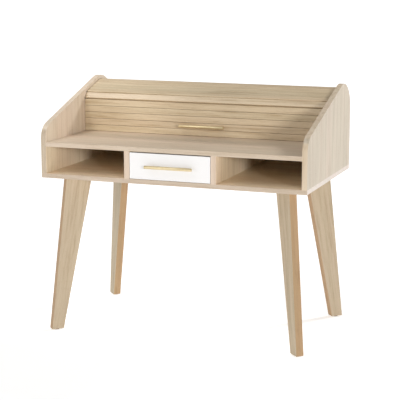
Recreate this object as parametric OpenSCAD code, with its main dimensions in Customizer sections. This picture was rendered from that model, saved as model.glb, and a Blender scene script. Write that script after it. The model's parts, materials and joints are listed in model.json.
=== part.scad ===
// Roll top desk: an open box carcass on four splayed legs, with a centre drawer between
// two open niches, and a tambour of hinged slats that rolls back over the hutch.
// Origin: on the floor, below the middle of the bounding box. +Z up, front towards -Y.

/* [Carcass] */
// Overall width of the desk
body_w = 1060; // [900:10:1300]
// Depth of the side panels, without the drawer handle
body_d = 620; // [600:5:700]
// Height of the worktop's upper face above the floor
worktop_z = 750; // [700:5:780]
// Clear height of the niches between the bottom board and the worktop
niche_h = 105; // [90:1:140]
// Thickness of the side panels and the dividers
upright_t = 20; // [18:0.5:22]
// Thickness of the bottom board and the worktop
board_t = 17; // [16:0.5:20]
// Clear width of the drawer bay between the dividers
bay_w = 326; // [280:2:420]
// Thickness of the back panel
back_t = 6; // [4:0.5:8]
// Thickness of the boards that line the hutch
lining_t = 12; // [10:0.5:16]

/* [Side panels] */
// Height of the panels' crest above the worktop's upper face
crest_h = 212; // [206:1:220]
// Radius of the panels' upper rear corner
rear_r = 110; // [108:1:118]
// Radius of the panels' upper front corner
front_r = 60; // [40:1:70]
// Slope of the panels' upper edge, in degrees
slope_a = 17.5; // [16.5:0.5:18.5]

/* [Tambour] */
// Distance from one slat hinge line to the next
pitch = 25.8; // [25.6:0.1:26]
// Thickness of a slat
slat_t = 9; // [8:0.5:10]
// Gap between two neighbouring slats
slat_gap = 0.9; // [0.6:0.1:1.4]
// Width of the bevel along the edges of a slat's face
slat_edge = 1; // [0.6:0.1:1.8]
// How far the slats' faces lie inside the panels' edge
inset = 14.5; // [13:0.5:15.5]
// Distance from the desk's front edge to the face of the upright slats
wall_in = 352; // [346:1:356]
// Clearance between a slat's end and a side panel
end_gap = 0.5; // [0.4:0.1:1]
// Depth of the guide grooves in the side panels
groove_d = 6; // [4:0.5:8]

/* [Drawer] */
// Width of the gap round the drawer front
front_gap = 2; // [1.5:0.5:3]
// Gap above the drawer front
top_gap = 4; // [3:0.5:6]
// Length of the drawer box behind its front
drawer_len = 420; // [380:5:440]
// Thickness of the drawer's sides and back
drawer_t = 12; // [10:0.5:15]

/* [Handles] */
// Length of a handle bar
bar_len = 188; // [150:2:220]
// Diameter of a handle bar
bar_d = 12; // [10:0.5:14]
// Distance from the mounting face to the bar's axis
bar_out = 18; // [16:0.5:22]
// Distance between a handle's two posts
post_gap = 128; // [96:1:140]

/* [Legs] */
// Thickness of a leg board
leg_t = 30; // [24:1:34]
// Width of a leg at its top
leg_top_w = 104; // [80:1:110]
// Width of a leg at its foot
leg_foot_w = 47; // [36:1:60]
// How far a leg's outer edge leans outwards from top to foot
leg_lean = 72; // [40:1:74]
// Height of the glides under the feet
glide_h = 4; // [3:0.5:6]

/* [Hidden] */
eps = 0.1;
bar_r = bar_d / 2;
drawer_inset = 1;
handle_out = bar_out + bar_r - drawer_inset;
inner_w = body_w - 2 * upright_t;

// Levels above the floor
base_z = worktop_z - 2 * board_t - niche_h;
floor_z = base_z + board_t;
under_z = worktop_z - board_t;
crest_z = worktop_z + crest_h;

// Front and rear planes: the drawer handle's reach is shared out, so the box is centred
front_y = handle_out / 2 - body_d / 2;
rear_y = front_y + body_d;
back_in = 4;
back_y = rear_y - back_t - back_in;

// Side panel outline: a round rear corner, a straight slope and a round front corner
arc_y = rear_y - rear_r;
arc_z = crest_z - rear_r;
slope_dir = [cos(slope_a), sin(slope_a)];
slope_out = [-sin(slope_a), cos(slope_a)];
rear_tan = [arc_y, arc_z] + rear_r * slope_out;
nose_y = front_y + front_r;
nose_z = rear_tan[1] - tan(slope_a) * (rear_tan[0] - nose_y) - front_r / cos(slope_a);

// Tambour path: the hinge line runs up a wall, along the slope and round the rear arc
path_r = rear_r - inset - slat_t;
wall_y = front_y + wall_in + slat_t;
wall_z = worktop_z + 0.3;
wall_n = 5;
path_tan = [arc_y, arc_z] + path_r * slope_out;
wall_top = [wall_y, wall_z + wall_n * pitch];
// distance along the slope, from its tangent point, of the vertex one pitch from the wall
to_top = wall_top - path_tan;
along = to_top * slope_dir;
bend_s = along + sqrt(along * along - to_top * to_top + pitch * pitch);
slope_n = floor(-bend_s / pitch);
last_s = bend_s + slope_n * pitch;
// first vertex on the arc, one pitch from the last vertex on the slope
last_v = path_tan + last_s * slope_dir;
last_r = norm(last_v - [arc_y, arc_z]);
last_a = atan2(last_v[1] - arc_z, last_v[0] - arc_y);
arc_a0 = last_a - acos((last_r * last_r + path_r * path_r - pitch * pitch) / (2 * last_r * path_r));
arc_step = 2 * asin(pitch / (2 * path_r));
arc_n = 5;
verts = concat(
    [for (k = [0 : wall_n]) [wall_y, wall_z + k * pitch]],
    [for (k = [0 : slope_n]) path_tan + (bend_s + k * pitch) * slope_dir],
    [for (k = [0 : arc_n])
        [arc_y, arc_z] + path_r * [cos(arc_a0 - k * arc_step), sin(arc_a0 - k * arc_step)]]
);
handle_slat = 1;
handle_z = wall_z + (handle_slat + 0.5) * pitch;
function slat_tilt(i) = atan2(verts[i + 1][1] - verts[i][1], verts[i + 1][0] - verts[i][0]);

// Hutch lining
roof_in = 29;
roof_up = 111;
roof_y = wall_y + roof_in;
roof_z = worktop_z + roof_up;
inner_back_y = arc_y - 20;
back_above_arc = 23;

// Drawer
drawer_front_t = 16;
drawer_front_y = front_y + drawer_inset;
drawer_front_w = bay_w - 2 * front_gap;
bottom_gap = 1.5;
drawer_front_h = niche_h - top_gap - bottom_gap;
drawer_front_z = floor_z + bottom_gap;
side_gap = 13;
box_w = bay_w - 2 * side_gap;
box_y = drawer_front_y + drawer_front_t;
box_z = floor_z + 10;
box_h = niche_h - 28;
ply_t = 4;
drawer_mid_z = drawer_front_z + drawer_front_h / 2;
ply_up = 8;
ply_in = 6;
runner_z = box_z + 38;
runner_len = drawer_len - 20;
runner_h = 35;
runner_w = 9.5;
sheet_t = 1.2;
ball_r = 2;
ball_n = 12;
ball_step = 24;
ball_from = 30;
ball_in = 6.2;

// Legs: each board stands at 45 degrees, with its outer edge at leg_out from the corner
leg_corner = [body_w / 2 - 71, body_d / 2 - 63];
leg_mid_y = (front_y + rear_y) / 2;
stud_at = [24, 76];
stud_r = 4;
stud_up = 11;
stud_down = 28;
glide_r = 9;
glide_pin_r = 2;
glide_pin = 14;

// Handle posts, and the screws that reach into them
post_r = 3.5;
thread_r = 2;
thread_in = 10;
thread_head_r = 4;
thread_head_h = 2.2;
thread_slot = [6, 1];

// Fastener places, from the front edge
joint_ys = [40, 300, 560];
cam_ys = [110, 480];
divider_ys = [60, 520];
dowel_r = 4;
dowel_half = 12;
cam_r = 7.5;
cam_in = 24;
bolt_r = 3;
cam_h = 12;
cam_slot = [10, 1.8, 1.6];
screw_r = 2.5;
screw_up = 34;
head_r = 4.5;
head_h = 4;
socket_r = 2;
socket_deep = 2;
back_screw_r = 1.8;
back_screw_in = 20;
back_head_r = 3.6;
back_head_h = 1.5;
back_screw_xs = [for (k = [-3 : 3]) k * (inner_w - 60) / 6];

oak = [0.83, 0.75, 0.64];
slat_oak = [0.79, 0.69, 0.55];
leg_oak = [0.77, 0.67, 0.52];
edge_oak = [0.85, 0.77, 0.66];
lining_oak = [0.70, 0.61, 0.49];
white = [0.95, 0.94, 0.92];
brass = [0.80, 0.71, 0.45];
steel = [0.72, 0.73, 0.74];
beech = [0.86, 0.74, 0.56];
dark = [0.16, 0.15, 0.14];

// ---- helpers -------------------------------------------------------------------------

// A box given by its low corner and its size
module block(low, size) {
    translate(low) cube(size);
}

// A rod along X, Y or Z from a point
module rod_x(at, r, len, fn = 32) {
    translate(at) rotate([0, 90, 0]) cylinder(r = r, h = len, $fn = fn);
}
module rod_y(at, r, len, fn = 32) {
    translate(at) rotate([-90, 0, 0]) cylinder(r = r, h = len, $fn = fn);
}
module rod_z(at, r, len, fn = 32) {
    translate(at) cylinder(r = r, h = len, $fn = fn);
}

// Points on an arc about c, from angle a0 to a1 in n steps
function arc(c, r, a0, a1, n) =
    [for (k = [0 : n]) c + r * [cos(a0 + (a1 - a0) * k / n), sin(a0 + (a1 - a0) * k / n)]];

// A (Y, Z) outline turned upright and extruded along X from x
module along_x(x, len) {
    translate([x, 0, 0]) rotate([90, 0, 90]) linear_extrude(len) children();
}

// ---- carcass -------------------------------------------------------------------------

module panel_outline() {
    polygon(concat(
        [[front_y, floor_z]],
        arc([nose_y, nose_z], front_r, 180, 90 + slope_a, 36),
        arc([arc_y, arc_z], rear_r, 90 + slope_a, 0, 54),
        [[rear_y, floor_z]]
    ));
}

// The guide groove follows the slats: a wall run, a slope run and the rear arc
module groove_outline() {
    top_v = verts[wall_n + 1];
    polygon(concat(
        [[wall_y - slat_t, worktop_z], wall_top + [-slat_t, 3]],
        [top_v + slat_t * slope_out - 2 * slope_dir],
        arc([arc_y, arc_z], path_r + slat_t, 90 + slope_a, -75, 48),
        arc([arc_y, arc_z], path_r - 1, -75, 90 + slope_a, 48),
        [top_v, wall_top, [wall_y, worktop_z]]
    ));
}

// Side panel at the given X, with its inner face on the side that inner points to
module side_panel(x, inner) {
    inner_x = inner > 0 ? x + upright_t : x;
    groove_x = inner > 0 ? inner_x - groove_d : inner_x - eps;
    bore_x = inner > 0 ? inner_x - dowel_half : inner_x - eps;
    mid_x = x + upright_t / 2;
    color(oak) difference() {
        along_x(x, upright_t) panel_outline();
        along_x(groove_x, groove_d + eps) groove_outline();
        for (y = joint_ys)
            rod_x([bore_x, front_y + y, under_z + board_t / 2], dowel_r, dowel_half + eps);
        for (y = cam_ys)
            rod_x([bore_x, front_y + y, under_z + board_t / 2], bolt_r, dowel_half + eps);
        for (y = joint_ys)
            rod_z([mid_x, front_y + y, floor_z - eps], screw_r, screw_up + eps);
    }
}

module side_panel_left() { side_panel(-body_w / 2, 1); }
module side_panel_right() { side_panel(body_w / 2 - upright_t, -1); }

// The four leg places: sign along X and along Y
module at_leg(sx, sy) {
    translate([sx * leg_corner[0], leg_mid_y + sy * leg_corner[1], 0])
        rotate(atan2(sy, sx)) children();
}

module at_legs() {
    for (sx = [-1, 1]) for (sy = [-1, 1]) at_leg(sx, sy) children();
}

module stud_holes(z, len) {
    for (s = stud_at) rod_z([-s, 0, z], stud_r + 0.1, len);
}

module bottom_board() {
    color(edge_oak) difference() {
        block([-body_w / 2, front_y, base_z], [body_w, body_d, board_t]);
        at_legs() stud_holes(base_z - eps, stud_up + 1 + eps);
        for (x = [-1, 1]) for (y = joint_ys) {
            rod_z([x * (body_w - upright_t) / 2, front_y + y, base_z - eps], screw_r, board_t + 2 * eps);
            rod_z([x * (body_w - upright_t) / 2, front_y + y, base_z - eps], head_r, head_h + eps);
        }
        for (x = [-1, 1]) for (y = divider_ys)
            rod_z([x * (bay_w + upright_t) / 2, front_y + y, floor_z - dowel_half + 2],
                dowel_r, dowel_half);
    }
}

module worktop() {
    mid_z = under_z + board_t / 2;
    color(oak) difference() {
        block([-inner_w / 2, front_y, under_z], [inner_w, back_y - front_y, board_t]);
        for (y = joint_ys) {
            rod_x([-inner_w / 2 - eps, front_y + y, mid_z], dowel_r, dowel_half + eps);
            rod_x([inner_w / 2 - dowel_half, front_y + y, mid_z], dowel_r, dowel_half + eps);
        }
        for (y = cam_ys) {
            rod_x([-inner_w / 2 - eps, front_y + y, mid_z], bolt_r, cam_in + eps);
            rod_x([inner_w / 2 - cam_in, front_y + y, mid_z], bolt_r, cam_in + eps);
            for (s = [-1, 1])
                rod_z([s * (inner_w / 2 - cam_in), front_y + y, under_z - eps], cam_r, cam_h + 0.5 + eps);
        }
        for (x = [-1, 1]) for (y = divider_ys)
            rod_z([x * (bay_w + upright_t) / 2, front_y + y, under_z - 1], dowel_r, dowel_half - 1);
        for (x = back_screw_xs)
            rod_y([x, back_y - back_screw_in - 1, mid_z], back_screw_r, back_screw_in + 1 + eps);
    }
}

module divider(s) {
    x = s * (bay_w + upright_t) / 2;
    color(oak) difference() {
        block([x - upright_t / 2, front_y, floor_z], [upright_t, back_y - front_y, niche_h]);
        for (y = divider_ys) {
            rod_z([x, front_y + y, floor_z - eps], dowel_r, dowel_half + 2 + eps);
            rod_z([x, front_y + y, under_z - dowel_half - 2], dowel_r, dowel_half + 2 + eps);
        }
    }
}

module divider_left() { divider(-1); }
module divider_right() { divider(1); }

module back_panel() {
    color(lining_oak) difference() {
        block([-inner_w / 2, back_y, floor_z], [inner_w, back_t, arc_z + back_above_arc - floor_z]);
        for (x = back_screw_xs)
            rod_y([x, back_y - eps, under_z + board_t / 2], back_screw_r + 0.2, back_t + 2 * eps);
    }
}

module inner_back() {
    color(lining_oak)
        block([-inner_w / 2, inner_back_y, worktop_z],
            [inner_w, lining_t, roof_z - worktop_z]);
}

module inner_roof() {
    color(lining_oak)
        block([-inner_w / 2, roof_y, roof_z],
            [inner_w, inner_back_y + lining_t - roof_y, lining_t]);
}

// ---- fasteners of the carcass --------------------------------------------------------

module panel_dowels() {
    color(beech) for (s = [-1, 1]) for (y = joint_ys)
        rod_x([s * inner_w / 2 - dowel_half + 0.5, front_y + y, under_z + board_t / 2],
            dowel_r - 0.05, 2 * dowel_half - 1);
}

module divider_dowels() {
    color(beech) for (s = [-1, 1]) for (y = divider_ys) {
        x = s * (bay_w + upright_t) / 2;
        rod_z([x, front_y + y, floor_z - dowel_half + 2.5], dowel_r - 0.05, 2 * dowel_half - 1);
        rod_z([x, front_y + y, under_z - dowel_half - 1.5], dowel_r - 0.05, 2 * dowel_half - 1);
    }
}

module cam_housings() {
    color(steel) for (s = [-1, 1]) for (y = cam_ys)
        translate([s * (inner_w / 2 - cam_in), front_y + y, under_z + 0.3]) difference() {
            cylinder(r = cam_r - 0.1, h = cam_h, $fn = 48);
            for (turn = [0, 90])
                rotate(turn) translate([-cam_slot[0] / 2, -cam_slot[1] / 2, -eps]) cube(cam_slot);
        }
}

module cam_bolts() {
    len = dowel_half - 0.5 + cam_in - cam_r;
    color(steel) for (s = [-1, 1]) for (y = cam_ys)
        rod_x([s > 0 ? inner_w / 2 - cam_in + cam_r : -inner_w / 2 - dowel_half + 0.5,
            front_y + y, under_z + board_t / 2], bolt_r - 0.05, len);
}

module panel_screws() {
    color(steel) for (s = [-1, 1]) for (y = joint_ys)
        translate([s * (body_w - upright_t) / 2, front_y + y, base_z + 0.5]) union() {
            difference() {
                cylinder(r = head_r - 0.1, h = head_h - 0.5, $fn = 32);
                translate([0, 0, -eps]) cylinder(r = socket_r, h = socket_deep, $fn = 6);
            }
            translate([0, 0, 3]) cylinder(r = screw_r - 0.05, h = board_t + screw_up - 4, $fn = 32);
        }
}

module back_panel_screws() {
    color(steel) for (x = back_screw_xs)
        translate([x, back_y + back_t, under_z + board_t / 2]) rotate([90, 0, 0]) union() {
            translate([0, 0, -back_head_h]) cylinder(r = back_head_r, h = back_head_h, $fn = 32);
            translate([0, 0, -1]) cylinder(r = back_screw_r - 0.1, h = back_t + back_screw_in, $fn = 24);
        }
}

// ---- legs ----------------------------------------------------------------------------

module leg(sx, sy) {
    color(leg_oak) at_leg(sx, sy) difference() {
        rotate([90, 0, 0]) translate([0, 0, -leg_t / 2]) linear_extrude(leg_t)
            polygon([
                [0, base_z], [-leg_top_w, base_z],
                [leg_lean - leg_foot_w, glide_h], [leg_lean, glide_h]
            ]);
        stud_holes(base_z - stud_down - 1, stud_down + 1 + eps);
        rod_z([leg_lean - leg_foot_w / 2, 0, glide_h - eps], glide_pin_r + 0.1, glide_pin + 1 + eps, 24);
    }
}

module leg_front_left() { leg(-1, -1); }
module leg_front_right() { leg(1, -1); }
module leg_rear_left() { leg(-1, 1); }
module leg_rear_right() { leg(1, 1); }

module glide(sx, sy) {
    color(dark) at_leg(sx, sy) translate([leg_lean - leg_foot_w / 2, 0, 0]) union() {
        cylinder(r = glide_r, h = glide_h, $fn = 48);
        translate([0, 0, glide_h - 0.5]) cylinder(r = glide_pin_r, h = glide_pin, $fn = 24);
    }
}

module glide_front_left() { glide(-1, -1); }
module glide_front_right() { glide(1, -1); }
module glide_rear_left() { glide(-1, 1); }
module glide_rear_right() { glide(1, 1); }

module leg_studs() {
    color(steel) at_legs() for (s = stud_at)
        rod_z([-s, 0, base_z - stud_down], stud_r, stud_down + stud_up);
}

// ---- drawer runners ------------------------------------------------------------------

// A channel of sheet steel, open towards +X, centred on Z = 0, from Y = 0
module channel(high, wide, sheet) {
    translate([0, 0, -high / 2]) difference() {
        cube([wide, runner_len, high]);
        translate([sheet, -eps, sheet]) cube([wide, runner_len + 2 * eps, high - 2 * sheet]);
    }
}

// Puts its child beside the left or right divider, with +X towards the drawer
module beside_divider(s) {
    translate([s * bay_w / 2, box_y + 2, runner_z]) mirror([s > 0 ? 1 : 0, 0, 0]) children();
}

module cabinet_runner(s) {
    color(steel) beside_divider(s) channel(runner_h, runner_w, sheet_t);
}

module runner_balls(s) {
    color(steel) beside_divider(s) for (k = [0 : ball_n - 1]) for (side = [-1, 1])
        translate([ball_in, ball_from + k * ball_step, side * (runner_h / 2 - sheet_t - ball_r - 0.05)])
            sphere(r = ball_r, $fn = 24);
}

module drawer_runner(s) {
    color(steel) beside_divider(s) translate([side_gap, 0, 0]) mirror([1, 0, 0])
        channel(runner_h - 2 * sheet_t - 4 * ball_r - 0.2, runner_w, sheet_t);
}

module cabinet_runner_left() { cabinet_runner(-1); }
module cabinet_runner_right() { cabinet_runner(1); }
module runner_balls_left() { runner_balls(-1); }
module runner_balls_right() { runner_balls(1); }
module drawer_runner_left() { drawer_runner(-1); }
module drawer_runner_right() { drawer_runner(1); }

// ---- drawer --------------------------------------------------------------------------

module drawer_front() {
    color(white) difference() {
        block([-drawer_front_w / 2, drawer_front_y, drawer_front_z],
            [drawer_front_w, drawer_front_t, drawer_front_h]);
        for (s = [-1, 1])
            rod_y([s * post_gap / 2, drawer_front_y - eps, drawer_mid_z],
                thread_r + 0.2, drawer_front_t + 2 * eps);
    }
}

module drawer_side(s) {
    x = s > 0 ? box_w / 2 - drawer_t : -box_w / 2;
    groove_x = s > 0 ? x - eps : x + drawer_t - ply_in;
    color(lining_oak) difference() {
        block([x, box_y, box_z], [drawer_t, drawer_len, box_h]);
        block([groove_x, box_y - eps, box_z + ply_up],
            [ply_in + eps, drawer_len + 2 * eps, ply_t + 0.2]);
    }
}

module drawer_side_left() { drawer_side(-1); }
module drawer_side_right() { drawer_side(1); }

module drawer_back() {
    z = box_z + ply_up + ply_t + 0.2;
    color(lining_oak)
        block([-box_w / 2 + drawer_t, box_y + drawer_len - drawer_t, z],
            [box_w - 2 * drawer_t, drawer_t, box_z + box_h - z]);
}

module drawer_bottom() {
    w = box_w - 2 * drawer_t + 2 * ply_in - 1;
    color(lining_oak) block([-w / 2, box_y, box_z + ply_up + 0.1], [w, drawer_len, ply_t]);
}

// ---- handles -------------------------------------------------------------------------

// A bar on two posts. The face it is fixed to is at Y = 0 and the bar is in front of it
module bar_handle() {
    color(brass) difference() {
        union() {
            rod_x([-bar_len / 2, -bar_out, 0], bar_r, bar_len, 48);
            for (s = [-1, 1])
                rod_y([s * post_gap / 2, -bar_out, 0], post_r, bar_out);
        }
        for (s = [-1, 1])
            rod_y([s * post_gap / 2, -thread_in - 1, 0], thread_r + 0.05, thread_in + 1 + eps, 24);
    }
}

// Screws from behind a board of the given thickness into the handle's posts
module handle_screws(t) {
    color(steel) for (s = [-1, 1]) translate([s * post_gap / 2, 0, 0]) union() {
        rod_y([0, -thread_in, 0], thread_r, thread_in + t + 0.5, 24);
        difference() {
            rod_y([0, t, 0], thread_head_r, thread_head_h);
            for (turn = [0, 90])
                translate([0, t + thread_head_h - 0.4, 0]) rotate([0, turn, 0])
                    cube([thread_slot[0], thread_slot[1], thread_slot[1]], center = true);
        }
    }
}

module drawer_handle() {
    translate([0, drawer_front_y, drawer_mid_z]) bar_handle();
}
module drawer_handle_screws() {
    translate([0, drawer_front_y, drawer_mid_z]) handle_screws(drawer_front_t);
}
module tambour_handle() {
    translate([0, wall_y - slat_t, handle_z]) bar_handle();
}
module tambour_handle_screws() {
    translate([0, wall_y - slat_t, handle_z]) handle_screws(slat_t);
}

// ---- tambour -------------------------------------------------------------------------

// Slat i lies between vertices i and i + 1 of the hinge line, with its face outwards
module slat(i) {
    u0 = slat_gap / 2;
    u1 = pitch - slat_gap / 2;
    color(slat_oak) difference() {
        along_x(end_gap - inner_w / 2, inner_w - 2 * end_gap)
            translate(verts[i]) rotate(slat_tilt(i)) polygon([
                [u0, 0], [u1, 0], [u1, slat_t - slat_edge], [u1 - slat_edge, slat_t],
                [u0 + slat_edge, slat_t], [u0, slat_t - slat_edge]
            ]);
        if (i == handle_slat) for (s = [-1, 1])
            rod_y([s * post_gap / 2, wall_y - slat_t - eps, handle_z],
                thread_r + 0.2, slat_t + 2 * eps, 24);
    }
}

module tambour_slat_01() { slat(0); }
module tambour_slat_02() { slat(1); }
module tambour_slat_03() { slat(2); }
module tambour_slat_04() { slat(3); }
module tambour_slat_05() { slat(4); }
module tambour_slat_06() { slat(5); }
module tambour_slat_07() { slat(6); }
module tambour_slat_08() { slat(7); }
module tambour_slat_09() { slat(8); }
module tambour_slat_10() { slat(9); }
module tambour_slat_11() { slat(10); }
module tambour_slat_12() { slat(11); }
module tambour_slat_13() { slat(12); }
module tambour_slat_14() { slat(13); }
module tambour_slat_15() { slat(14); }
module tambour_slat_16() { slat(15); }

// ---- nodes ---------------------------------------------------------------------------

bottom_board();
side_panel_left();
side_panel_right();
worktop();
divider_left();
divider_right();
back_panel();
inner_back();
inner_roof();
panel_dowels();
divider_dowels();
cam_housings();
cam_bolts();
panel_screws();
back_panel_screws();
leg_front_left();
leg_front_right();
leg_rear_left();
leg_rear_right();
glide_front_left();
glide_front_right();
glide_rear_left();
glide_rear_right();
leg_studs();
cabinet_runner_left();
cabinet_runner_right();
runner_balls_left();
runner_balls_right();
drawer_front();
drawer_side_left();
drawer_side_right();
drawer_back();
drawer_bottom();
drawer_runner_left();
drawer_runner_right();
drawer_handle();
drawer_handle_screws();
tambour_slat_01();
tambour_slat_02();
tambour_slat_03();
tambour_slat_04();
tambour_slat_05();
tambour_slat_06();
tambour_slat_07();
tambour_slat_08();
tambour_slat_09();
tambour_slat_10();
tambour_slat_11();
tambour_slat_12();
tambour_slat_13();
tambour_slat_14();
tambour_slat_15();
tambour_slat_16();
tambour_handle();
tambour_handle_screws();
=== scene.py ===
"""Looks of the roll top desk: materials, softened edges, tambour backing, studio and camera.

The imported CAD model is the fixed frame. Every size below is in metres, in that frame:
+Z up, the front of the desk faces -Y, and +X is to the right of a person facing it.
"""
import json
import math

import bmesh
import bpy
from mathutils import Euler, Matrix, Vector


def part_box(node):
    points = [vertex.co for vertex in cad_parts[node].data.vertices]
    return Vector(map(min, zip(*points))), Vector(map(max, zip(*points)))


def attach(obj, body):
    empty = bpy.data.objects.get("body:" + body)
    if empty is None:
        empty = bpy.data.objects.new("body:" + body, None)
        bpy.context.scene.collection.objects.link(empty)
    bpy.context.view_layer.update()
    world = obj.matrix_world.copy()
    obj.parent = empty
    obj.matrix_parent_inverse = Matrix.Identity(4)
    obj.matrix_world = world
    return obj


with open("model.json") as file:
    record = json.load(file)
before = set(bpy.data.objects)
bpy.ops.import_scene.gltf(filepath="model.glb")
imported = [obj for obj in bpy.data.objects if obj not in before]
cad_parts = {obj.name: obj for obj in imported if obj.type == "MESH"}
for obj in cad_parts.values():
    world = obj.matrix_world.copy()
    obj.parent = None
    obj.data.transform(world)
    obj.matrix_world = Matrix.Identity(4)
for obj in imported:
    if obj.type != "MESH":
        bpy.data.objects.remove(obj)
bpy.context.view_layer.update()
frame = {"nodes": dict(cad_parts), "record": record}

NODES = frame["nodes"]
FRONT = (0, -1, 0)
RIGHT = (1, 0, 0)
UP = (0, 0, 1)

# ---------------------------------------------------------------- node trees


def add(tree, kind, inputs=(), **settings):
    """One shader node. Settings are attributes; inputs are values or other nodes' sockets."""
    made = tree.nodes.new(kind)
    for name, value in settings.items():
        setattr(made, name, value)
    for name, value in dict(inputs).items():
        if isinstance(value, bpy.types.NodeSocket):
            tree.links.new(value, made.inputs[name])
        else:
            made.inputs[name].default_value = value
    return made


def new_material(name):
    """A material and its empty tree, which finish completes."""
    material = bpy.data.materials.new(name)
    material.use_nodes = True
    material.node_tree.nodes.clear()
    return material, material.node_tree


def finish(tree, inputs):
    """Completes a material's tree with a Principled shader that has these inputs."""
    shader = add(tree, "ShaderNodeBsdfPrincipled", inputs)
    add(tree, "ShaderNodeOutputMaterial", {"Surface": shader.outputs[0]})


def calculated(tree, operation, a, b=0.0):
    """The result of a Math node."""
    return add(tree, "ShaderNodeMath", {0: a, 1: b}, operation=operation).outputs[0]


def plus(tree, a, b):
    """The sum of two values."""
    return calculated(tree, "ADD", a, b)


def minus(tree, a, b):
    """The first value less the second."""
    return calculated(tree, "SUBTRACT", a, b)


def times(tree, a, b):
    """The product of two values."""
    return calculated(tree, "MULTIPLY", a, b)


def dot(tree, a, b):
    """The dot product of two vectors."""
    return add(tree, "ShaderNodeVectorMath", {0: a, 1: b}, operation="DOT_PRODUCT").outputs["Value"]


def brightened(tree, colour, factor):
    """A colour times a value."""
    return add(tree, "ShaderNodeVectorMath", {0: colour, "Scale": factor}, operation="SCALE").outputs[0]


def noise(tree, vector, scale, detail=2.0, rough=0.5):
    """The value of a Noise texture."""
    inputs = {"Vector": vector, "Scale": scale, "Detail": detail, "Roughness": rough}
    return add(tree, "ShaderNodeTexNoise", inputs).outputs[0]


def ramp(tree, value, stops):
    """The colour of a ramp whose stops are (place, colour)."""
    made = add(tree, "ShaderNodeValToRGB", {0: value})
    elements = made.color_ramp.elements
    while len(elements) < len(stops):
        elements.new(0.5)
    for element, (place, colour) in zip(elements, stops):
        element.position = place
        element.color = (*colour, 1.0)
    return made.outputs[0]


def step(tree, value, low, high):
    """0 at low and 1 at high, smooth between them. Low may be the larger number."""
    inputs = {"Value": value, "From Min": low, "From Max": high}
    return add(tree, "ShaderNodeMapRange", inputs, interpolation_type="SMOOTHSTEP").outputs[0]


def spread(tree, value, low, high):
    """A value from 0 to 1 carried to the range from low to high."""
    return add(tree, "ShaderNodeMapRange", {"Value": value, "To Min": low, "To Max": high}).outputs[0]


def blend(tree, factor, a, b, mode="MIX"):
    """The colour of a Mix node."""
    made = add(tree, "ShaderNodeMix", {0: factor, 6: a, 7: b}, data_type="RGBA", blend_type=mode)
    return made.outputs[2]


def mapped(tree, vector, turn=(0, 0, 0), size=(1, 1, 1)):
    """A vector turned and then scaled."""
    turned = add(tree, "ShaderNodeMapping", {"Vector": vector, "Rotation": turn})
    return add(tree, "ShaderNodeMapping", {"Vector": turned.outputs[0], "Scale": size}).outputs[0]


def stretched(tree, vector, share):
    """A vector that draws a texture out along X. The smaller the share, the longer the streaks."""
    return mapped(tree, vector, size=(share, 1.0, 1.0))


def bumped(tree, height, strength, distance):
    """The normal of a surface with this height drawn on it."""
    inputs = {"Strength": strength, "Distance": distance, "Height": height}
    return add(tree, "ShaderNodeBump", inputs).outputs[0]


def worn_edges(tree, radius, most):
    """A value that is most on sharp edges and 0 on flat faces, from how a rounded normal leans."""
    rounded = add(tree, "ShaderNodeBevel", {"Radius": radius}, samples=4).outputs[0]
    normal = add(tree, "ShaderNodeNewGeometry").outputs["Normal"]
    return times(tree, step(tree, dot(tree, rounded, normal), low=0.995, high=0.8), most)


def shade(linear):
    """A four-channel colour for a socket."""
    return (*linear, 1.0)


def srgb(red, green, blue):
    """A linear colour from 0 to 255 values, by the sRGB curve."""
    scaled = (channel / 255 for channel in (red, green, blue))
    return tuple(c / 12.92 if c < 0.04045 else ((c + 0.055) / 1.055) ** 2.4 for c in scaled)


# ---------------------------------------------------------------- wood

ALONG_X = (0.0, 0.0, 0.0)
ALONG_Y = (0.0, 0.0, -math.pi / 2)
ALONG_Z = (0.0, math.pi / 2, 0.0)

# Colours that multiply the wood: the two hues of its broad bands, and its pores.
ROSY = (1.02, 0.995, 0.99)
OLIVE = (0.985, 1.0, 0.98)
PORE = (0.72, 0.66, 0.58)

# How strongly each feature shows in the colour of the wood.
RING_SHARE = 0.16
FIBRE_SHARE = 0.25
FLECK_SHARE = 0.3
PORE_SHARE = 0.6

# The pieces are cut from places in the tree that lie up to this far apart across the grain.
TREE_SPREAD = 3.0

# Wood up to INTO_SIDE past the inner faces of the side panels counts as inside the desk. LINE_BLUR
# softens the line between the painted light inside the niches and the rest of the wood.
INTO_SIDE = 0.001
LINE_BLUR = 0.002

INNER_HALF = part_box("side_panel_right")[0].x
UNDER_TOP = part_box("worktop")[0].z
BASE_LOW, BASE_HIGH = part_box("bottom_board")
CARCASS_Y = (BASE_LOW.y + BASE_HIGH.y) / 2


def looks_along(tree, lean):
    """1 on faces that look along a direction, from the cosine between it and their normal."""
    return step(tree, lean, low=0.75, high=0.9)


def painted_niche_light_mask(tree, place, height):
    """Painted niche light: 1 on faces that look across the desk, below a height and inside its sides."""
    split = add(tree, "ShaderNodeSeparateXYZ", {0: place.outputs["Object"]}).outputs
    below = step(tree, split["Z"], low=height + LINE_BLUR, high=height - LINE_BLUR)
    limit = INNER_HALF + INTO_SIDE
    within = step(tree, calculated(tree, "ABSOLUTE", split["X"]), low=limit + LINE_BLUR, high=limit)
    lean = add(tree, "ShaderNodeSeparateXYZ", {0: place.outputs["Normal"]}).outputs["X"]
    across = looks_along(tree, calculated(tree, "ABSOLUTE", lean))
    return times(tree, times(tree, below, within), across)


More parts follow.
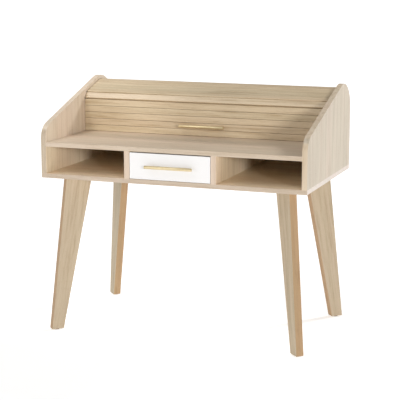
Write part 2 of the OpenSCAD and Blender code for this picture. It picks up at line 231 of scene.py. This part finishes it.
def wandered(tree, straight, chance, sway):
    """Where in the tree a piece is cut from: its own place, with grain that wanders by sway."""
    drift = noise(tree, mapped(tree, straight, size=(0.9, 2.5, 2.5)), scale=2.0)
    shift = times(tree, minus(tree, drift, 0.5), sway)
    cut = plus(tree, shift, times(tree, chance, TREE_SPREAD))
    sideways = add(tree, "ShaderNodeCombineXYZ", {"X": chance, "Y": shift, "Z": cut}).outputs[0]
    return add(tree, "ShaderNodeVectorMath", {0: straight, 1: sideways}, operation="ADD").outputs[0]


def wood_figure(tree, straight, bent):
    """What is drawn in the wood, each as a value from about 0 to 1."""
    along = stretched(tree, bent, 0.04)
    ring_inputs = {"Vector": along, "Scale": 11.0, "Distortion": 5.0, "Detail": 3.0, "Detail Scale": 3.0}
    rings = add(tree, "ShaderNodeTexWave", ring_inputs, bands_direction="DIAGONAL")
    holes = noise(tree, stretched(tree, bent, 0.05), scale=1500.0)
    rays = noise(tree, stretched(tree, bent, 0.3), scale=210.0)
    return {
        "rings": rings.outputs["Fac"],
        "streaks": noise(tree, along, scale=95.0, detail=5.0, rough=0.62),
        "fibres": noise(tree, along, scale=520.0, detail=3.0, rough=0.6),
        "pores": step(tree, holes, low=0.6, high=0.72),
        "flecks": step(tree, rays, low=0.62, high=0.7),
        "patches": noise(tree, straight, scale=2.6),
        "bands": noise(tree, along, scale=12.0),
    }


def wood_colour(tree, drawn, chance, pale, mid, dark, figure):
    """The colour of the wood, from what is drawn in it. figure is how strong the rings are."""
    tone = times(tree, minus(tree, drawn["rings"], 0.5), RING_SHARE * figure)
    tone = plus(tree, tone, drawn["streaks"])
    tone = plus(tree, tone, times(tree, drawn["fibres"], FIBRE_SHARE))
    tone = minus(tree, tone, FIBRE_SHARE / 2)
    colour = ramp(tree, tone, [(0.34, dark), (0.47, mid), (0.62, pale)])
    hue = blend(tree, step(tree, drawn["bands"], low=0.3, high=0.7), shade(ROSY), shade(OLIVE))
    colour = blend(tree, 1.0, colour, hue, "MULTIPLY")
    colour = blend(tree, times(tree, drawn["flecks"], FLECK_SHARE), colour, shade(pale))
    colour = blend(tree, times(tree, drawn["pores"], PORE_SHARE), colour, shade(PORE), "MULTIPLY")
    patch_tint = spread(tree, drawn["patches"], low=0.9, high=1.1)
    piece_tint = spread(tree, chance, low=0.95, high=1.05)
    return brightened(tree, colour, times(tree, patch_tint, piece_tint))


def oak(name, grain, pale, mid, dark, figure=0.5, sway=0.05, gloss=0.42, ends=(), painted_niche_light=None):
    """Oak with growth rings, streaks, ray flecks, open pores and softly worn edges.

    grain turns the object so that its grain runs along X, and sway is how far the grain wanders
    in metres. Each piece is cut from its own place in the tree. ends lists (direction, colour):
    faces that look along such a direction take the colour. On sawn edges and edge banding this is
    the wood's own tone; on other faces it is painted light or painted shade for how light falls.
    The last argument, if given, is (height, colour): the inner faces below that height are painted
    this brighter colour, as painted light in the niches.
    """
    material, tree = new_material(name)
    place = add(tree, "ShaderNodeTexCoord")
    straight = mapped(tree, place.outputs["Object"], grain)
    chance = add(tree, "ShaderNodeObjectInfo").outputs["Random"]
    drawn = wood_figure(tree, straight, wandered(tree, straight, chance, sway))

    colour = wood_colour(tree, drawn, chance, pale, mid, dark, figure)
    # Faces that look one way take a colour: the wood's own tone, or painted light or painted shade.
    for direction, facing_colour in ends:
        end = looks_along(tree, dot(tree, place.outputs["Normal"], direction))
        colour = blend(tree, end, colour, shade(facing_colour), "MULTIPLY")
    # Painted light: faces inside the niches are brightened, standing in for light the lamps don't bring
    # there.
    if painted_niche_light:
        height, niche_light_colour = painted_niche_light
        colour = blend(tree, painted_niche_light_mask(tree, place, height), colour, shade(niche_light_colour), "MULTIPLY")
    colour = blend(tree, worn_edges(tree, radius=0.0018, most=0.35), colour, shade(pale))

    relief = plus(tree, times(tree, drawn["fibres"], 0.5), drawn["streaks"])
    relief = minus(tree, relief, drawn["pores"])
    dull_pores = times(tree, drawn["pores"], 0.15)
    roughness = plus(tree, spread(tree, drawn["streaks"], gloss - 0.05, gloss + 0.1), dull_pores)
    finish(tree, {
        "Base Color": colour,
        "Roughness": roughness,
        "Normal": bumped(tree, relief, strength=0.35, distance=0.0003),
    })
    return material


# ---------------------------------------------------------------- other finishes


def lacquer(name, colour):
    """Satin lacquer on board: a faint orange peel, soft dust marks and slightly dulled edges."""
    material, tree = new_material(name)
    place = add(tree, "ShaderNodeTexCoord").outputs["Object"]
    peel = noise(tree, place, scale=380.0, detail=3.0)
    cloud = noise(tree, place, scale=9.0, detail=3.0)
    base = brightened(tree, colour, spread(tree, cloud, low=0.965, high=1.015))
    base = blend(tree, worn_edges(tree, radius=0.0012, most=0.4), base, shade(srgb(226, 220, 210)))
    finish(tree, {
        "Base Color": base,
        "Roughness": spread(tree, cloud, low=0.26, high=0.42),
        "Normal": bumped(tree, peel, strength=0.3, distance=0.0002),
        "Coat Weight": 0.25,
        "Coat Roughness": 0.2,
    })
    return material


def brushed_metal(name, pale, deep, brush, gloss):
    """Metal brushed along one direction, with a light tarnish and bright worn edges."""
    material, tree = new_material(name)
    place = add(tree, "ShaderNodeTexCoord").outputs["Object"]
    brushed = mapped(tree, place, brush, size=(0.02, 1.0, 1.0))
    lines = noise(tree, brushed, scale=2600.0, detail=3.0, rough=0.6)
    tarnish = noise(tree, place, scale=42.0, detail=4.0, rough=0.6)
    colour = ramp(tree, tarnish, [(0.35, deep), (0.6, pale)])
    finish(tree, {
        "Base Color": blend(tree, worn_edges(tree, radius=0.001, most=0.5), colour, shade(pale)),
        "Metallic": 1.0,
        "Roughness": spread(tree, lines, gloss - 0.06, gloss + 0.1),
        "Normal": bumped(tree, lines, strength=0.2, distance=0.00005),
    })
    return material


def moulded_plastic(name, colour):
    """Black moulded plastic with a fine spark-eroded texture and scuffs."""
    material, tree = new_material(name)
    place = add(tree, "ShaderNodeTexCoord").outputs["Object"]
    spark = noise(tree, place, scale=1800.0)
    scuff = step(tree, noise(tree, place, scale=160.0, detail=4.0, rough=0.7), low=0.55, high=0.75)
    scuffed = tuple(channel * 2.2 for channel in colour)
    finish(tree, {
        "Base Color": blend(tree, times(tree, scuff, 0.5), shade(colour), shade(scuffed)),
        "Roughness": spread(tree, scuff, low=0.48, high=0.7),
        "Normal": bumped(tree, spark, strength=0.3, distance=0.00008),
    })
    return material


def canvas(name, thread, gap):
    """Plain woven cotton on a UV map in metres: warp and weft as two crossed waves."""
    material, tree = new_material(name)
    place = add(tree, "ShaderNodeTexCoord").outputs["UV"]
    thread_inputs = {"Vector": place, "Scale": 280.0, "Distortion": 0.6, "Detail": 1.0}
    warp = add(tree, "ShaderNodeTexWave", thread_inputs, bands_direction="X").outputs["Fac"]
    weft = add(tree, "ShaderNodeTexWave", thread_inputs, bands_direction="Y").outputs["Fac"]
    weave = calculated(tree, "MAXIMUM", warp, weft)
    slub = noise(tree, stretched(tree, place, 0.1), scale=300.0, detail=3.0)
    colour = ramp(tree, weave, [(0.35, gap), (0.8, thread)])
    finish(tree, {
        "Base Color": brightened(tree, colour, spread(tree, slub, low=0.88, high=1.08)),
        "Roughness": 0.9,
        "Sheen Weight": 0.2,
        "Normal": bumped(tree, weave, strength=0.5, distance=0.0002),
    })
    return material


# ---------------------------------------------------------------- finishes of the CAD nodes

BOARD = {"pale": srgb(219, 201, 180), "mid": srgb(213, 194, 172), "dark": srgb(203, 183, 159)}
# The side panels are lit and shaded copies of one oak: the left painted lighter, the right painted
# darker and greyer.
PANEL_LEFT_PAINTED_LIGHT = {"pale": srgb(222, 206, 186), "mid": srgb(217, 200, 179), "dark": srgb(206, 188, 164)}
PANEL_RIGHT_PAINTED_SHADE = {"pale": srgb(200, 187, 169), "mid": srgb(193, 179, 160), "dark": srgb(181, 166, 144)}
SLAT = {"pale": srgb(211, 192, 162), "mid": srgb(202, 182, 151), "dark": srgb(181, 158, 125)}
LEG = {"pale": srgb(184, 168, 143), "mid": srgb(178, 161, 135), "dark": srgb(165, 147, 120)}
BEECH = {"pale": srgb(228, 200, 158), "mid": srgb(216, 186, 142), "dark": srgb(196, 163, 118)}

# Colours that multiply the wood on faces that look one way: the wood's own tones on sawn edges and
# edge banding, and painted light and painted shade on some sides and tops.
SAWN = (0.88, 0.71, 0.54)
BANDED = (0.86, 0.85, 0.85)
# Edge banding on the base's front, darkened further as painted shade.
BANDED_BASE_AND_PAINTED_SHADE = (0.74, 0.73, 0.73)
# Painted shade: the left panel's front edge, darker as if in shade.
BANDED_LEFT_PAINTED_SHADE = (0.66, 0.63, 0.59)
# Painted light: the right panel's front edge, lighter as if lit from the right.
BANDED_RIGHT_PAINTED_LIGHT = (1.1, 1.03, 0.95)
# Painted light: the right panel's top faces, lighter as if lit from above.
CREST_RIGHT_PAINTED_LIGHT = (1.21, 1.16, 1.11)
# Painted light: the base's right end, lighter and cooler as if lit from the right.
BASE_END_PAINTED_LIGHT = (1.0, 1.07, 1.25)
# Painted light: the brighter colour of the faces inside the niches.
NICHE_PAINTED_LIGHT = (1.32, 1.34, 1.28)

# The corners this close to a leg's highest point are its top, and this close to its lowest, its foot.
LEG_TOP_BAND = 0.001
LEG_FOOT_BAND = 0.02


def leg_tilt(node):
    """How a leg's grain turns, and the direction that its narrow edges look along."""
    low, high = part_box(node)
    corners = [vertex.co for vertex in NODES[node].data.vertices]
    top = [corner for corner in corners if corner.z > high.z - LEG_TOP_BAND]
    foot = [corner for corner in corners if corner.z < low.z + LEG_FOOT_BAND]
    line = sum(top, Vector()) / len(top) - sum(foot, Vector()) / len(foot)
    turn = line.rotation_difference(Vector((1.0, 0.0, 0.0))).to_euler()
    middle = (low + high) / 2
    outward = Vector((math.copysign(1, middle.x), math.copysign(1, middle.y - CARCASS_Y), 0))
    return tuple(turn), outward.normalized()


def leg_finish(node):
    """Oak whose grain follows the leg, with warmer sawn edges."""
    turn, outward = leg_tilt(node)
    edges = [(tuple(outward), SAWN), (tuple(-outward), SAWN)]
    return oak("oak_" + node, turn, **LEG, figure=0.4, gloss=0.5, ends=edges)


def finishes():
    """The material of every CAD node, by its name's start."""
    front_edge = [(FRONT, BANDED)]
    # The base has painted shade on its front band and painted light on its right end and its top.
    base_edges_painted_light_and_shade = [(FRONT, BANDED_BASE_AND_PAINTED_SHADE), (RIGHT, BASE_END_PAINTED_LIGHT), (UP, NICHE_PAINTED_LIGHT)]
    # The left panel's front edge carries painted shade.
    left_edge_painted_shade = [(FRONT, BANDED_LEFT_PAINTED_SHADE)]
    # The right panel's front edge and top faces carry painted light.
    right_edge_and_top_painted_light = [(FRONT, BANDED_RIGHT_PAINTED_LIGHT), (UP, CREST_RIGHT_PAINTED_LIGHT)]
    # Upright boards; their faces inside the niches carry painted light.
    upright = {"grain": ALONG_Z, "figure": 0.7, "painted_niche_light": (UNDER_TOP, NICHE_PAINTED_LIGHT)}
    board_x = oak("oak_board_wide", ALONG_X, **BOARD, ends=front_edge)
    base = oak("oak_base", ALONG_X, **BOARD, ends=base_edges_painted_light_and_shade)
    # The back panel's front face, the back wall of the niches, carries painted light.
    back = oak("oak_back", ALONG_X, **BOARD, ends=[(FRONT, NICHE_PAINTED_LIGHT)])
    lining = oak("oak_lining", ALONG_X, **BOARD)
    board_y = oak("oak_board_deep", ALONG_Y, **BOARD)
    board_z = oak("oak_board_tall", **BOARD, **upright, ends=front_edge)
    left = oak("oak_panel_left", **PANEL_LEFT_PAINTED_LIGHT, **upright, ends=left_edge_painted_shade)
    right = oak("oak_panel_right", **PANEL_RIGHT_PAINTED_SHADE, **upright, ends=right_edge_and_top_painted_light)
    slat = oak("oak_slat", ALONG_X, **SLAT, figure=0.25, sway=0.01, gloss=0.38)
    beech = oak("beech", ALONG_X, **BEECH, figure=0.3)
    zinc = brushed_metal("zinc_plate", srgb(200, 202, 206), srgb(168, 171, 176), ALONG_Y, gloss=0.36)
    brass = brushed_metal("brass", srgb(228, 211, 172), srgb(219, 201, 160), ALONG_X, gloss=0.42)
    by_start = {
        "bottom_board": base,
        "worktop": board_x,
        "side_panel_left": left,
        "side_panel_right": right,
        "divider_left": board_z,
        "divider_right": board_z,
        "back_panel": back,
        "inner_back": lining,
        "inner_roof": lining,
        "drawer_side": board_y,
        "drawer_back": board_x,
        "drawer_bottom": board_y,
        "drawer_front": lacquer("white_lacquer", (0.80, 0.785, 0.775)),
        "drawer_handle": brass,
        "tambour_slat": slat,
        "tambour_handle": brass,
        "panel_dowels": beech,
        "divider_dowels": beech,
        "glide": moulded_plastic("glide_plastic", srgb(34, 33, 32)),
        "leg_studs": zinc,
        "cam_": zinc,
        "panel_screws": zinc,
        "back_panel_screws": zinc,
        "cabinet_runner": zinc,
        "runner_balls": zinc,
        "drawer_runner": zinc,
        "drawer_handle_screws": zinc,
        "tambour_handle_screws": zinc,
    }
    for node in NODES:
        if node.startswith("leg_") and node != "leg_studs":
            by_start[node] = leg_finish(node)
    return by_start


def paint(by_start):
    """Gives each CAD node its material. Where several starts match, the longest wins."""
    for node, item in NODES.items():
        match = max((start for start in by_start if node.startswith(start)), key=len)
        item.data.materials.clear()
        item.data.materials.append(by_start[match])


# ---------------------------------------------------------------- softened edges

EDGE_RADII = {
    "leg_front": 0.0028,
    "leg_rear": 0.0028,
    "tambour_slat": 0.0005,
    "drawer_front": 0.0009,
    "drawer_handle": 0.0006,
    "tambour_handle": 0.0006,
    "worktop": 0.0007,
    "bottom_board": 0.0007,
    "side_panel": 0.0009,
    "divider_left": 0.0006,
    "divider_right": 0.0006,
    "inner_": 0.0005,
    "drawer_side": 0.0006,
    "drawer_back": 0.0006,
}
WELD_GAP = 0.00001
SHARP = math.radians(40)


def soften(node, radius):
    """Welds the node's facets and rounds its sharp edges, as a modifier stack."""
    item = NODES[node]
    weld = item.modifiers.new("weld", "WELD")
    weld.merge_threshold = WELD_GAP
    bevel = item.modifiers.new("edges", "BEVEL")
    bevel.width = radius
    bevel.segments = 2
    bevel.limit_method = "ANGLE"
    bevel.angle_limit = SHARP
    bevel.harden_normals = True
    bevel.use_clamp_overlap = True


for start, radius in EDGE_RADII.items():
    for node in NODES:
        if node.startswith(start) and not node.endswith("screws"):
            soften(node, radius)
paint(finishes())

# ---------------------------------------------------------------- cloth behind the slats

# The distance from one hinge line of the tambour to the next.
SLAT_PITCH = 0.0258

# Each strip ends a margin from the side panels and just short of its hinge lines. It lies a little
# off its slat, and it thins towards its two long sides.
CLOTH_MARGIN = 0.012
CLOTH_HALF = INNER_HALF - CLOTH_MARGIN
CLOTH_SHORT = 0.00015
CLOTH_LIFT = 0.00005
CLOTH_THICK = 0.0007
CLOTH_THIN_BAND = 0.0018
CLOTH_STEPS = 48

BODY_OF = {
    node: body for body, nodes in frame["record"]["behaviour"]["bodies"].items() for node in nodes
}


def back_face(node):
    """A slat's widest face, its back: its middle, its normal, and the direction across the slat."""
    mesh = NODES[node].data
    areas = {}
    faces = {}
    for face in mesh.polygons:
        key = tuple(round(channel, 2) for channel in face.normal)
        areas[key] = areas.get(key, 0.0) + face.area
        faces.setdefault(key, []).append(face)
    widest = faces[max(areas, key=areas.get)]
    normal = widest[0].normal.copy()
    across = Vector((1.0, 0.0, 0.0)).cross(normal).normalized()
    corners = [mesh.vertices[i].co for face in widest for i in face.vertices]
    along = [corner.dot(across) for corner in corners]
    middle = across * (min(along) + max(along)) / 2 + normal * corners[0].dot(normal)
    return middle, normal, across


def cloth_mesh(name, middle, normal, across, half):
    """A strip of cloth along X, 2 * half wide, thin along its two long sides where it bends."""
    flat = half - CLOTH_THIN_BAND
    crown = [(-half, 0.0), (-flat, CLOTH_THICK), (flat, CLOTH_THICK), (half, 0.0)]
    section = crown + [(flat, 0.0), (-flat, 0.0)]
    built = bmesh.new()
    rows = []
    for number in range(CLOTH_STEPS + 1):
        x = CLOTH_HALF * (2 * number / CLOTH_STEPS - 1)
        rows.append([
            built.verts.new(Vector((x, 0, 0)) + middle + across * aside + normal * (rise + CLOTH_LIFT))
            for aside, rise in section
        ])
    for first, second in zip(rows, rows[1:]):
        for corner in range(len(section)):
            after = (corner + 1) % len(section)
            built.faces.new((first[corner], first[after], second[after], second[corner]))
    # Each end is closed by a wedge, the flat middle and a wedge.
    for row in (rows[0], rows[-1]):
        for end in ((0, 1, 5), (1, 2, 4, 5), (2, 3, 4)):
            built.faces.new([row[corner] for corner in end])
    bmesh.ops.recalc_face_normals(built, faces=built.faces)
    weave = built.loops.layers.uv.new("weave")
    for face in built.faces:
        for loop in face.loops:
            loop[weave].uv = (loop.vert.co.x, loop.vert.co.dot(across))
    mesh = bpy.data.meshes.new(name)
    built.to_mesh(mesh)
    built.free()
    return mesh


def cloth_strip(node, material):
    """The strip of canvas glued to one slat's back, which ends just short of the hinge lines."""
    half = SLAT_PITCH / 2 - CLOTH_SHORT
    mesh = cloth_mesh(node.replace("slat", "cloth"), *back_face(node), half)
    mesh.materials.append(material)
    piece = bpy.data.objects.new(mesh.name, mesh)
    bpy.context.scene.collection.objects.link(piece)
    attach(piece, BODY_OF[node])


cloth = canvas("backing_canvas", thread=srgb(212, 188, 150), gap=srgb(160, 132, 96))
for node in NODES:
    if node.startswith("tambour_slat"):
        cloth_strip(node, cloth)

# ---------------------------------------------------------------- studio and camera

# How far off a far lamp stands. Its light is parallel, so this changes nothing in the picture.
FAR = 4.0


def lamp(name, data, place, towards):
    """Places a lamp that shines along towards."""
    item = bpy.data.objects.new(name, data)
    bpy.context.scene.collection.objects.link(item)
    item.location = place
    item.rotation_euler = Vector(towards).to_track_quat("-Z", "Y").to_euler()


def far_softbox(name, side, height, power, width):
    """Soft parallel light. side is degrees from the front towards +X, height and width are degrees."""
    data = bpy.data.lights.new(name, "SUN")
    data.energy = power
    data.angle = math.radians(width)
    turn = math.radians(side)
    rise = math.radians(height)
    source = Vector((math.sin(turn) * math.cos(rise), -math.cos(turn) * math.cos(rise), math.sin(rise)))
    lamp(name, data, source * FAR, -source)


def near_softbox(name, place, target, size, power, beam):
    """A soft square lamp near the desk, with a honeycomb that narrows it to beam degrees."""
    data = bpy.data.lights.new(name, "AREA")
    data.size = size
    data.spread = math.radians(beam)
    data.energy = power
    lamp(name, data, place, Vector(target) - Vector(place))


def studio_floor(half_width, glow):
    """A plain pale floor far wider than the view, which also glows a little, as a light table does."""
    mesh = bpy.data.meshes.new("studio_floor")
    corners = [(-1, -1), (1, -1), (1, 1), (-1, 1)]
    mesh.from_pydata([(x * half_width, y * half_width, 0) for x, y in corners], [], [(0, 1, 2, 3)])
    floor = bpy.data.objects.new("studio_floor", mesh)
    bpy.context.scene.collection.objects.link(floor)
    material, tree = new_material("floor_paper")
    finish(tree, {
        "Base Color": (0.93, 0.93, 0.93, 1.0),
        "Roughness": 0.9,
        "Specular IOR Level": 0.1,
        "Emission Color": (1.0, 1.0, 1.0, 1.0),
        "Emission Strength": glow,
    })
    mesh.materials.append(material)


def studio_air(seen, lit):
    """White all round: as bright as seen behind the desk, and as bright as lit on it."""
    world = bpy.data.worlds.new("studio_air")
    world.use_nodes = True
    tree = world.node_tree
    background = tree.nodes["Background"]
    background.inputs["Color"].default_value = (1.0, 1.0, 1.0, 1.0)
    direct = add(tree, "ShaderNodeLightPath").outputs["Is Camera Ray"]
    tree.links.new(spread(tree, direct, lit, seen), background.inputs["Strength"])
    bpy.context.scene.world = world


def camera(place, down, heading, lens):
    """The camera. down is degrees below level, and heading is degrees left of +Y."""
    data = bpy.data.cameras.new("camera")
    data.lens = lens
    data.sensor_width = 36.0
    item = bpy.data.objects.new("camera", data)
    bpy.context.scene.collection.objects.link(item)
    item.location = place
    item.rotation_euler = Euler((math.radians(90 - down), 0, math.radians(heading)))
    bpy.context.scene.camera = item


studio_floor(half_width=40.0, glow=0.47)
studio_air(seen=1.0, lit=0.28)
far_softbox("key", side=143, height=35, power=1.4, width=10)
far_softbox("top", side=-35, height=55, power=0.76, width=40)
far_softbox("front", side=-40, height=5, power=0.6, width=30)
far_softbox("front_right", side=42, height=8, power=1.2, width=10)
near_softbox("crest_glint", (-1.0, -0.8, 2.6), target=(-0.5, 0.07, 0.89), size=0.6, power=0.4, beam=18)
bpy.context.scene.view_settings.view_transform = "Standard"
camera((1.7407, -4.6523, 1.4728), down=11.04, heading=20.40, lens=115.3)
